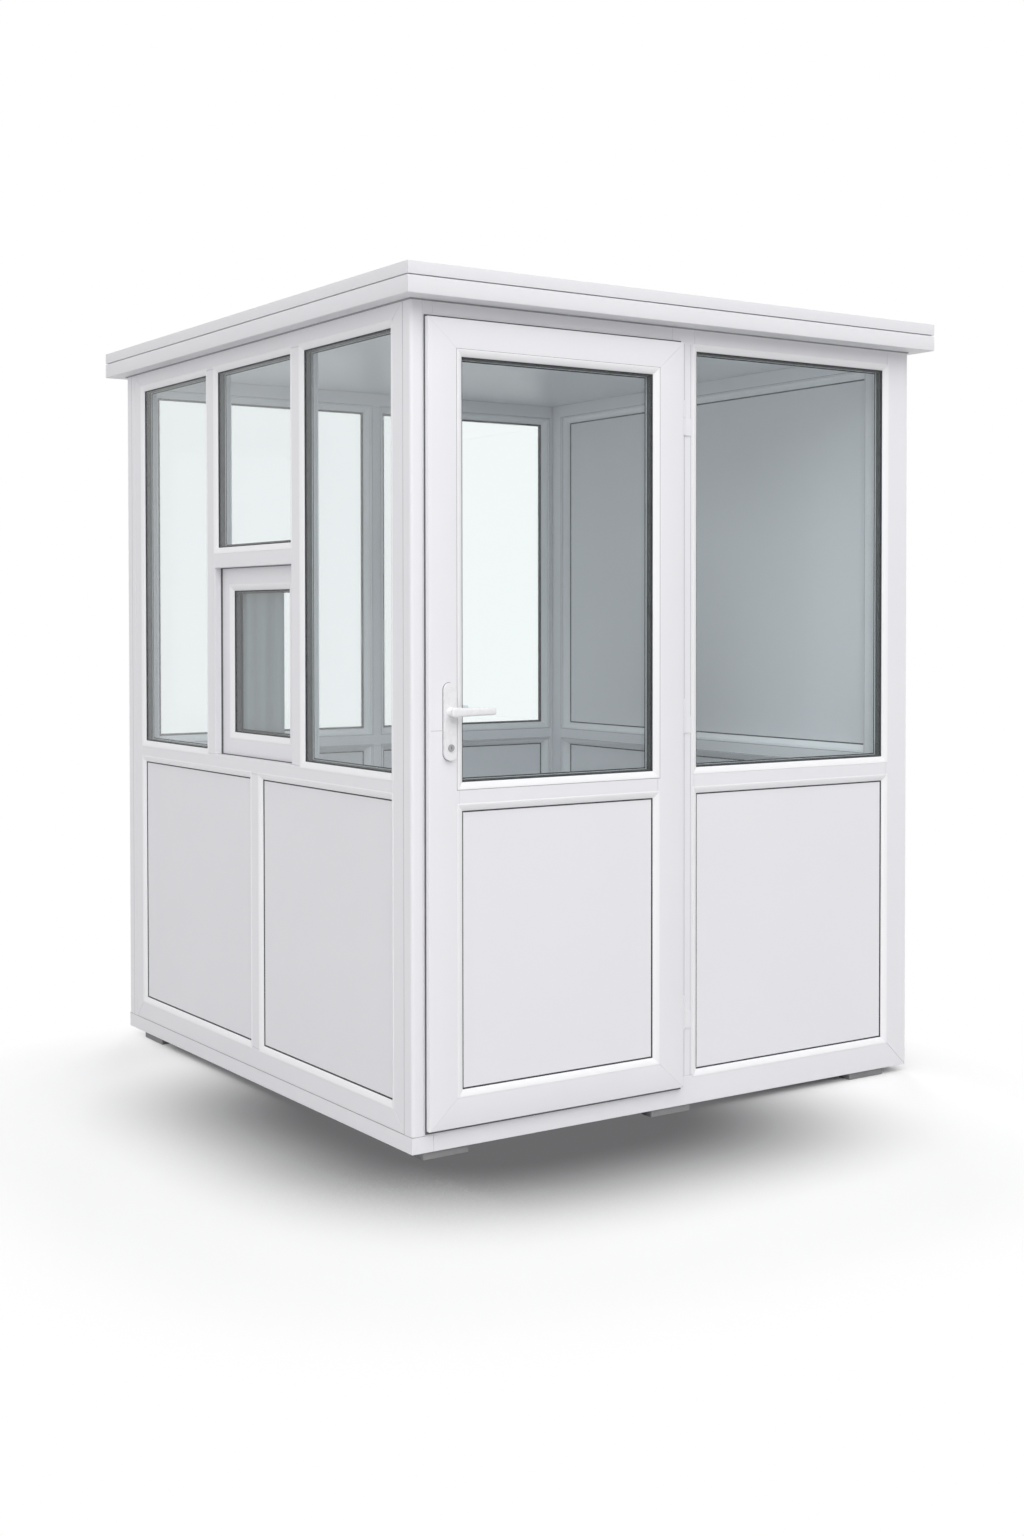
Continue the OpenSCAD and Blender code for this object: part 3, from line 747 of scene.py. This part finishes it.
# %% Bead and seal sections
BEAD_WIDE = 12 * MM
BEAD_LAP = 6 * MM
BEAD_PROUD = 0.8 * MM
BEAD_SUNK = 0.3 * MM
BEAD_RECESS = 9 * MM
SEAM_WIDE = 1.0 * MM
SEAM_PROUD = 0.15 * MM
ROOM_SEAM_SET = 3.0 * MM
ROOM_SEAM_WIDE = 1.3 * MM
BEAD_LIP = 2 * MM
BEAD_NOSE = 2 * MM
INNER_BEAD_WIDE = 18 * MM
INNER_BEAD_RISE = 20 * MM
SERVICE_BEAD_RISE = 3 * MM
SEAL_WIDE = 3.2 * MM
SEAL_TALL = 1.6 * MM
SEAL_TUCK = 0.4 * MM
PANEL_SEAL_WIDE = 4.2 * MM
BACK_SEAL_WIDE = 7.0 * MM
BEAD_ROLL = 1.3
ROUND_STEPS = 8


def roll_down(start, top, wide, lip):
    """From the top of a bead at the frame down to its lip at the glass, between a slope and an arc."""
    points = []
    for step in range(ROUND_STEPS + 1):
        t = step / ROUND_STEPS * math.pi / 2
        run = max(math.sin(t), 0) ** (2 / BEAD_ROLL)
        drop = max(math.cos(t), 0) ** (2 / BEAD_ROLL)
        points.append((0, start + (wide - start) * run, lip + (top - lip) * drop))
    return points


def outer_bead(glass, face):
    """The weather side: the bead laps a little over the face of the frame."""
    top = face + BEAD_PROUD
    under = face - BEAD_SUNK
    points = [(0, BEAD_SUNK, glass), (0, BEAD_SUNK, under), (0, -BEAD_LAP, under)]
    points += [(0, -BEAD_LAP, face), (0, -BEAD_LAP + BEAD_NOSE / 3, top)]
    points += roll_down(BEAD_NOSE - BEAD_LAP, top, BEAD_WIDE, glass + BEAD_LIP)
    points.append((0, BEAD_WIDE, glass))
    return points


def bead_seam(face):
    """The joint line where the bead meets the frame, a hair above its face."""
    outer, inner = -BEAD_LAP - SEAM_WIDE, -BEAD_LAP + BEAD_SUNK
    top = face + SEAM_PROUD
    return [(0, outer, face - BEAD_SUNK), (0, outer, top), (0, inner, top), (0, inner, face - BEAD_SUNK)]


def room_seam(face):
    """The line along the room side of an opening, clear of the bar's rounded edge."""
    near, far = -ROOM_SEAM_SET, -ROOM_SEAM_SET - ROOM_SEAM_WIDE
    top = face - SEAM_PROUD
    return [(0, far, face + BEAD_SUNK), (0, far, top), (0, near, top), (0, near, face + BEAD_SUNK)]


def inner_bead(glass, rise):
    """The room side: a taller strip inside the frame's opening."""
    points = [(0, BEAD_SUNK, glass), (0, BEAD_SUNK, glass - rise + BEAD_SUNK)]
    points += roll_down(BEAD_NOSE, glass - rise, INNER_BEAD_WIDE, glass - BEAD_LIP)
    points.append((0, INNER_BEAD_WIDE, glass))
    return points


def seal_section(glass, way, start, wide):
    """A low rounded lip that lies on the glass beside the bead."""
    points = [(0, start, glass)]
    for step in range(ROUND_STEPS + 1):
        t = step / ROUND_STEPS * math.pi / 2
        points.append((0, start + wide * math.sin(t), glass + way * SEAL_TALL * math.cos(t)))
    return points


print("bead section points:", len(outer_bead(0, BEAD_RECESS)))

# %% [markdown]
# ## Laying the beads
#
# Every pane and panel gets a bead and a seal on both faces. The door's light has a fine joint line
# round its outer bead, and on the room side of the back wall and the closed wall a line runs along
# each opening. A painted line would blur close by, so these are thin strips of their own.

# %% Bead and seal frames
BEADED = ("front", "left", "back", "right", "door")
beads = {part: bmesh.new() for part in BEADED}
seals = {part: bmesh.new() for part in BEADED}
leaf_seam = bmesh.new()
room_seams = bmesh.new()
held = [(part, node, SEAL_WIDE) for part, (node, body) in GLAZED.items()]
held += [(part, node, PANEL_SEAL_WIDE) for part, node in PANELLED.items()]
for part, node, seal_wide in held:
    owner = "left" if part == "service" else part
    wall = WALL_OF.get(part, part)
    for box in solid_boxes(node):
        along, up, (low, high) = wall_ranges(wall, box)
        rim = (along, up)
        rise = SERVICE_BEAD_RISE if part == "service" else INNER_BEAD_RISE
        mitred_frame(beads[owner], wall, rim, rim, outer_bead(high, high + BEAD_RECESS))
        mitred_frame(beads[owner], wall, rim, rim, inner_bead(low, rise))
        if wall in ("back", "right"):
            room_face = wall_ranges(wall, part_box(wall + "_rails"))[2][0]
            mitred_frame(room_seams, wall, rim, rim, room_seam(room_face), 0)
        if node == "door_glass":
            mitred_frame(leaf_seam, wall, rim, rim, bead_seam(high + BEAD_RECESS), 0)
        lip = BEAD_WIDE - SEAL_TUCK
        mitred_frame(seals[owner], wall, rim, rim, seal_section(high, 1, lip, seal_wide))
        lip = INNER_BEAD_WIDE - SEAL_TUCK
        room_wide = BACK_SEAL_WIDE if node == "back_window_glass" else seal_wide
        mitred_frame(seals[owner], wall, rim, rim, seal_section(low, -1, lip, room_wide))
for part in BEADED:
    body = "door" if part == "door" else "booth"
    bars = len(beads[part].verts)
    piece(part + "_bead_frames", beads[part], bead_white_painted_light, body, "white_profile", part + "_beads")
    piece(part + "_seals", seals[part], seal_rubber_and_slot_shade, body, "foot_rubber")
    print(part, "bead points:", bars)
piece("door_bead_seam", leaf_seam, seam_and_shade_grey, "door", "white_profile")
piece("room_bead_seams", room_seams, seam_and_shade_grey, "booth", "white_profile")

# %% [markdown]
# ## The door leaf
#
# The leaf stands proud of the wall and laps over it all round, with mitred welded corners and a
# softly rounded outer edge. The CAD has it as four flat bars. A bevel modifier would round the
# mitre ends as much as the outer edge, so the lapping frame is built from a section instead, with
# a larger radius outside than inside.

# %% Door leaf frame
LEAF_ROUND = 2.6 * MM
INNER_ROUND = 1.2 * MM
WELD_SEAM = 0.5


def arc(share, inset, out, radius, start, steps=4):
    """A rounded corner of a section: points of a quarter circle from a starting angle."""
    found = []
    for step in range(steps + 1):
        t = start - step / steps * math.pi / 2
        found.append((share, inset + radius * math.cos(t), out + radius * math.sin(t)))
    return found


def proud_bar(low, high, outer_round):
    """The section of a flat bar, with a larger radius at its outer edge than at its inner one."""
    points = [(0, 0, low)]
    points += arc(0, outer_round, high - outer_round, outer_round, math.pi)
    points += arc(1, -INNER_ROUND, high - INNER_ROUND, INNER_ROUND, math.pi / 2)
    points.append((1, 0, low))
    return points


leaf_along, leaf_up, (leaf_low, leaf_high) = wall_ranges("front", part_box("door_outer_stiles"))
glass_along, glass_up = wall_ranges("front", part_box("door_glass"))[:2]
panel_up = wall_ranges("front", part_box("door_lower_panel"))[1]
light = (glass_along, (panel_up[0], glass_up[1]))
leaf = bmesh.new()
section = proud_bar(leaf_low, leaf_high, LEAF_ROUND)
mitred_frame(leaf, "front", (leaf_along, leaf_up), light, section, WELD_SEAM)
piece("door_leaf_frame", leaf, white_profile, "door", "white_profile",
      "door_outer_stiles", "door_outer_rails")
print("leaf", [round(v, 4) for v in leaf_along], [round(v, 4) for v in leaf_up])

# %% [markdown]
# ## The service sash
#
# The small window under the transom is a sash of its own, set back a little in its opening. Its four
# bars are mitred like the leaf's. A dark grey strip in the reveal round the sash is painted shade, for
# the shade in the gap where the sash is set back. The pane behind carries a grey privacy film that
# stops short of one edge, so a bright strip of clear glass is left there.

# %% Service sash, its shade strip and film
SASH_ROUND = 2.0 * MM
FILM_THICK = 0.4 * MM
FILM_SHORT = 91 * MM
REVEAL_SHADE = 5 * MM
FINE_EDGE = 0.1

sash_along, sash_up, (sash_low, sash_high) = wall_ranges("left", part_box("service_sash"))
pane_along, pane_up, pane_out = wall_ranges("left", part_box("service_glass"))
sash = bmesh.new()
section = proud_bar(sash_low, sash_high, SASH_ROUND)
mitred_frame(sash, "left", (sash_along, sash_up), (pane_along, pane_up), section, WELD_SEAM)
piece("service_sash_frame", sash, white_profile, "booth", "white_profile", "service_sash")

# The dark strip round the sash is painted shade for the shaded reveal.
section = [(0, BEAD_SUNK, sash_high - BEAD_SUNK), (0, BEAD_SUNK, sash_high + REVEAL_SHADE)]
section += [(0, REVEAL_SHADE / 3, sash_high + REVEAL_SHADE / 2), (0, REVEAL_SHADE / 2, sash_high - BEAD_SUNK)]
reveal = bmesh.new()
mitred_frame(reveal, "left", (sash_along, sash_up), (sash_along, sash_up), section)
piece("service_sash_seal", reveal, shade_strip_grey, "booth", "foot_rubber")

film = bmesh.new()
film_along = (pane_along[0] + FILM_SHORT, pane_along[1])
flat_sheet(film, "left", film_along, pane_up, pane_out[0] - FILM_THICK, pane_out[0], FINE_EDGE)
piece("service_film", film, grey_film, "booth", "double_glazing")
print("film", [round(v, 4) for v in film_along])

# %% [markdown]
# ## The fascia
#
# Two bands run round the roof's edge with a fine groove between them. The lower one has a rounded
# bottom edge that fades into the shade of the soffit. Both are mitred at the corners, so they come
# from the same recipe as the beads, laid flat: along and across the roof instead of along a wall.

# %% Fascia bands
BAND_EDGE = 0.5 * MM
BAND_FOOT = 2.4 * MM
BAND_SEAM = 0.4


def band(name, node, foot_round, top_round):
    """One fascia band with its own edge radii, from the roof's edge in to the roof panel."""
    along, across, (low, high) = wall_ranges("roof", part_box(node))
    panel = wall_ranges("roof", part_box("roof_panel"))
    section = [(1, 0, low)]
    section += arc(0, foot_round, low + foot_round, foot_round, 1.5 * math.pi)
    section += arc(0, top_round, high - top_round, top_round, math.pi)
    section += [(1, 0, high)]
    bm = bmesh.new()
    mitred_frame(bm, "roof", (along, across), panel[:2], section, BAND_SEAM)
    return piece(name, bm, roof_white_painted_shade, "booth", "white_metal", node)


band("fascia_lower_band", "roof_fascia_lower", BAND_FOOT, BAND_EDGE)
band("fascia_upper_band", "roof_fascia_upper", BAND_EDGE, BAND_EDGE)

# %% [markdown]
# ## The leaf's seal, and dark strips of painted shade
#
# Two dark lines give the booth much of its drawing: the shade in the gap round the door leaf and the
# shade under the roof. The leaf presses on a flat rubber strip, as on a real door, but the strip is
# given a dark lip that shows beside, over and under the leaf, longer at the foot, where the eye looks
# down on it past the leaf's edge: this lip is painted shade for the shadow gap round the leaf. Between
# wall and soffit a small dark grey fillet is painted shade for the shaded soffit. Painting the lines
# would only work from one side, so both are real strips, set back a little so that they stay in the
# shade of the edge above them.

# %% Leaf gasket with its shade lip, and the roof's shade fillet
GASKET_INSET = -2.0 * MM
GASKET_WIDE = 12 * MM
GASKET_CLEAR = 1.4 * MM
GASKET_SHADE_LIP = 3.0 * MM
GASKET_SHADE_DROP = 5.5 * MM
ROOF_SHADE_FILLET = 3.5 * MM
ROOF_SHADE_FILLET_STEPS = 4

wall_face = -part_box("front_rails")[0][1]
gasket = bmesh.new()
g0, g1 = GASKET_INSET, GASKET_INSET + GASKET_WIDE
back, rest = leaf_low + BEAD_SUNK, wall_face + GASKET_CLEAR
section = [(0, g0, back), (0, g0, rest + MM), (0, g0 + MM, rest), (0, g1 - MM, rest), (0, g1, rest + MM),
           (0, g1, back)]
# The strip reaches past the leaf's outline at the sides, more over its top and most under its foot: a dark
# lip that is painted shade for the gap round the leaf.
lipped = (leaf_along, (leaf_up[0] - GASKET_SHADE_DROP, leaf_up[1] + GASKET_SHADE_LIP))
mitred_frame(gasket, "front", lipped, lipped, section)
piece("leaf_gasket", gasket, shade_strip_grey, "door", "foot_rubber")

# A small dark grey fillet along the top of the walls, painted shade for the shaded soffit under the roof's
# edge.
walls_low, walls_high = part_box("roof_panel")
walls = ((walls_low[0], walls_high[0]), (walls_low[1], walls_high[1]))
soffit = walls_low[2]
section = [(0, MM, soffit - BEAD_SUNK), (0, MM, soffit - ROOF_SHADE_FILLET)]
for step in range(ROOF_SHADE_FILLET_STEPS + 1):
    t = step / ROOF_SHADE_FILLET_STEPS * math.pi / 2
    section.append((0, -ROOF_SHADE_FILLET * math.sin(t), soffit - ROOF_SHADE_FILLET * math.cos(t)))
section[-1] = (0, -ROOF_SHADE_FILLET, soffit - BEAD_SUNK)
roof_seal = bmesh.new()
mitred_frame(roof_seal, "roof", walls, walls, section)
piece("roof_seal", roof_seal, seam_and_shade_grey, "booth", "foot_rubber")
print("gasket stands off the wall by", round(GASKET_CLEAR / MM, 1), "mm")

# %% [markdown]
# ## Joint lines
#
# Where two profiles meet, the rounded edges leave a groove, and dirt and sealant draw it as a fine
# grey line: over the base rails, beside the corner posts, on the upright next to the door and, short,
# on the leaf beside the lock. A groove this narrow catches too much light to show by itself at this
# distance, so each one gets a thin strip of sealant, nearly flush with the faces beside it. One more
# grey line, on the upright just beside the leaf's hinge edge, is painted shade for the shadow gap
# along that edge.

# %% Joint lines
LINE_WIDE = 0.9 * MM
LINE_DEEP = 0.9 * MM
LINE_PROUD = 0.12 * MM
LINE_CLEAR = 2 * MM
LEAF_SHADE_SET = 18 * MM
LOCK_LINE_UP = 1.0415


def joint_line(bm, wall, along, up, face):
    """A strip of sealant: a range in one direction, and one place in the other."""
    spans = []
    for span in (along, up):
        place = isinstance(span, float)
        spans.append((span - LINE_WIDE / 2, span + LINE_WIDE / 2) if place else span)
    flat_sheet(bm, wall, *spans, face - LINE_DEEP, face + LINE_PROUD, FINE_EDGE)


post_low, post_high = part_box("front_corner_post")
back_post_at = -post_high[1]
base_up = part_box("base_side_rails")[1][2]
side_face, end_face = -post_low[0], -post_low[1]
lines = bmesh.new()
for wall in ("left", "right"):
    joint_line(lines, wall, (-end_face, end_face), base_up, side_face)
    joint_line(lines, wall, back_post_at, (base_up, soffit), side_face)
joint_line(lines, "left", post_high[1], (base_up, soffit), side_face)
joint_line(lines, "back", (-side_face, side_face), base_up, end_face)
joint_line(lines, "front", (post_low[0], leaf_along[0] - LINE_CLEAR), base_up, end_face)
upright_up = (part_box("front_sill")[1][2], leaf_up[1])
# The first place, a little beyond the leaf's hinge edge, draws painted shade: the grey line there stands
# for the shadow gap along the leaf's edge.
for place in (leaf_along[1] + LEAF_SHADE_SET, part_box("hinge_frame_halves")[1][0] + LINE_CLEAR):
    joint_line(lines, "front", place, upright_up, end_face)
piece("profile_joint_lines", lines, seam_and_shade_grey, "booth", "white_profile")
lock_line = bmesh.new()
plate_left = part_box("handle_backplates")[0][0]
lock_along = (leaf_along[0] + 2 * LEAF_ROUND, plate_left - LINE_CLEAR)
joint_line(lock_line, "front", lock_along, LOCK_LINE_UP, leaf_high)
piece("lock_joint_line", lock_line, seam_and_shade_grey, "door", "white_profile")
print("joint lines over the base at", round(base_up, 3), "m")

# %% [markdown]
# ## The lever
#
# The lever is a cast bar with a full round hub that runs into a slimmer grip, its underside rising
# to the tip. A cylinder with a box would show a hard step. A loft is better: rounded sections are
# placed along the bar, each with its own top, underside and thickness, and joined by rings of faces.

# %% Lever
HUB = 12.5 * MM
GRIP_THICK = 12 * MM
GRIP_SQUARE = 3.2
LEVER_RING = 16
LEVER_SMOOTH = math.radians(50)
# Places along the bar, each with the shares of its top, underside and thickness there.
LEVER_STATIONS = ((-1.00, 0.34, 0.34, 0.50), (-0.94, 0.62, 0.62, 0.80), (-0.76, 0.86, 0.88, 0.95),
                  (-0.40, 0.98, 1.00, 1.00), (0.10, 1.00, 1.00, 1.00), (0.90, 0.94, 0.92, 1.00),
                  (1.60, 0.86, 0.85, 0.96), (2.60, 0.83, 0.82, 0.94), (4.50, 0.83, 0.77, 0.93),
                  (6.60, 0.83, 0.72, 0.92), (8.20, 0.83, 0.68, 0.91), (8.80, 0.77, 0.62, 0.84),
                  (8.96, 0.60, 0.46, 0.62))
# Millimetres out from the backplate, each with the share of the hub's width there.
NECK_STEPS = ((0.0, 0.98), (2.0, 0.86), (5.0, 0.76))


def rounded(count, power):
    """Points of a rounded rectangle from -1 to 1, squarer as the power grows."""
    found = []
    for i in range(count):
        t = 2 * math.pi * (i + 0.5) / count
        c, s = math.cos(t), math.sin(t)
        found.append((math.copysign(abs(c) ** (2 / power), c), math.copysign(abs(s) ** (2 / power), s)))
    return found


def loft(bm, rings):
    """Joins rings of points into a closed body."""
    made = [[bm.verts.new(point) for point in ring] for ring in rings]
    for first, second in zip(made, made[1:]):
        for i in range(len(first)):
            j = (i + 1) % len(first)
            bm.faces.new((first[i], first[j], second[j], second[i]))
    bm.faces.new(made[0][::-1])
    bm.faces.new(made[-1])


lever_along, lever_up, lever_out = wall_ranges("front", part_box("lever_handle"))
axis_u = sum(lever_up) / 2
axis_a = lever_along[0] + (lever_up[1] - lever_up[0]) / 2
plate_along, plate_up, plate_out = wall_ranges("front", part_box("handle_backplates"))
grip_long = lever_along[1] - axis_a
lever = bmesh.new()
for face, tip in ((plate_out[1], lever_out[1]), (plate_out[0], lever_out[0])):
    way = 1 if tip > face else -1
    middle = tip - way * GRIP_THICK / 2
    rings = []
    for place, top, under, thick in LEVER_STATIONS:
        at = place * HUB if place < 0 else place * grip_long / LEVER_STATIONS[-1][0]
        ring = []
        for across, tall in rounded(LEVER_RING, GRIP_SQUARE):
            up = axis_u + tall * HUB * (top if tall > 0 else under)
            ring.append(wall_place("front", axis_a + at, up, middle + across * thick * GRIP_THICK / 2))
        rings.append(ring)
    loft(lever, rings)
    neck = [(face + way * step * MM, wide) for step, wide in NECK_STEPS]
    neck.append((middle, NECK_STEPS[-1][1]))
    loft(lever, [[wall_place("front", axis_a + c * HUB * wide, axis_u + s * HUB * wide, out)
                  for c, s in rounded(2 * LEVER_RING, 2)] for out, wide in neck])
piece("lever_grips", lever, handle_white, "handle", "white_metal", "lever_handle",
      smooth=LEVER_SMOOTH)
print("lever", round(grip_long / MM, 1), "mm from its axis")

# %% [markdown]
# ## Key slots and backplate shade pads
#
# The lock cylinder shows a dark key slot on each side. Here the slot is filled by a near-black bar, a hair
# proud, that is painted shade for the shade inside the keyway. Each long backplate sits on a thin dark
# grey pad, a little larger than the plate, that is painted shade: it draws the plate's shaded outline on
# the leaf. Dark paint could draw both, but only flat. So they are small lofts again: a rounded bar for the
# slot, and for the pad an outline with round ends, a little larger than the plate.

# %% Key slots and backplate shade pads
KEY_SLOT = (1.6 * MM, 8.0 * MM, 0.5 * MM)
SLOT_PROUD = 0.1 * MM
SLOT_RING = 12
SLOT_SQUARE = 4
PAD_SPREAD = 0.8 * MM
PAD_TALL = 1.4 * MM
PAD_RING = 64

key_along, key_up, key_out = wall_ranges("front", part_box("key_cylinders"))
slot = bmesh.new()
wide, tall, deep = KEY_SLOT
key_a, key_u = sum(key_along) / 2, sum(key_up) / 2
# Each slot is a near-black bar, painted shade for the inside of the keyway.
for face, way in ((key_out[1], 1), (key_out[0], -1)):
    outline = [(key_a + c * wide / 2, key_u + s * tall / 2) for c, s in rounded(SLOT_RING, SLOT_SQUARE)]
    loft(slot, [[wall_place("front", a, u, face + way * d) for a, u in outline]
                for d in (-deep, SLOT_PROUD)])
piece("key_slots", slot, seal_rubber_and_slot_shade, "door", "foot_rubber")

leaf_faces = (leaf_high, -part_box("door_inner_stiles")[1][1])
# Each pad is painted shade: a dark outline round a backplate.
shade_pads = bmesh.new()
half_wide = (plate_along[1] - plate_along[0]) / 2
for face, way in ((leaf_faces[0], 1), (leaf_faces[1], -1)):
    rings = []
    for lift, spread in ((-BEAD_SUNK, PAD_SPREAD), (PAD_TALL / 2, PAD_SPREAD), (PAD_TALL, PAD_SPREAD / 2)):
        ring = []
        for i in range(PAD_RING):
            t = 2 * math.pi * (i + 0.5) / PAD_RING
            c, s = math.cos(t), math.sin(t)
            straight = plate_up[1] - half_wide if s > 0 else plate_up[0] + half_wide
            a = sum(plate_along) / 2 + c * (half_wide + spread)
            ring.append(wall_place("front", a, straight + s * (half_wide + spread), face + way * lift))
        rings.append(ring)
    loft(shade_pads, rings)
piece("backplate_pads", shade_pads, shade_strip_grey, "door", "foot_rubber")
print("backplate pads", round(PAD_TALL / MM, 1), "mm thick")
